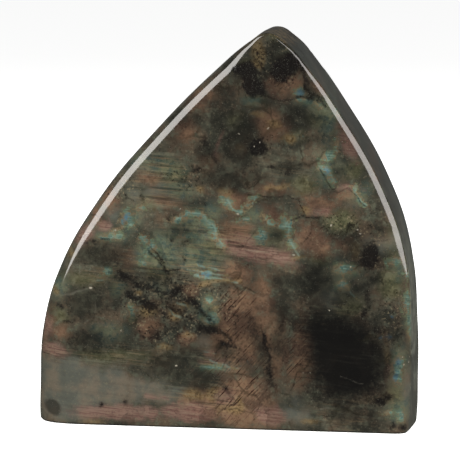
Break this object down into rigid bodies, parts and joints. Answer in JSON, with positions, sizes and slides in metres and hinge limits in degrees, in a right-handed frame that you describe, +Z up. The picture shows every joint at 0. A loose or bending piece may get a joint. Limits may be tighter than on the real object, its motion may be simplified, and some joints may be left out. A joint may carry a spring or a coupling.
{
  "type": "labradorite sculpture",
  "caption": "Free-standing polished labradorite freeform: an upright slab with a leaning pointed top, rounded edges and a flat sawn base.",
  "frame": {"origin": "on the surface that the stone stands on, under the middle of its box", "axes": "+Z up the stone to its tip, +X to the right as the front is seen, -Y out of the front face"},
  "size_m": [0.1151, 0.034, 0.1184],
  "materials": {
    "labradorite": "polished, dark grey-green with flashes of copper, teal and blue"
  },
  "bodies": {
    "root": {"labradorite_stone": "labradorite"}
  },
  "joints": []
}
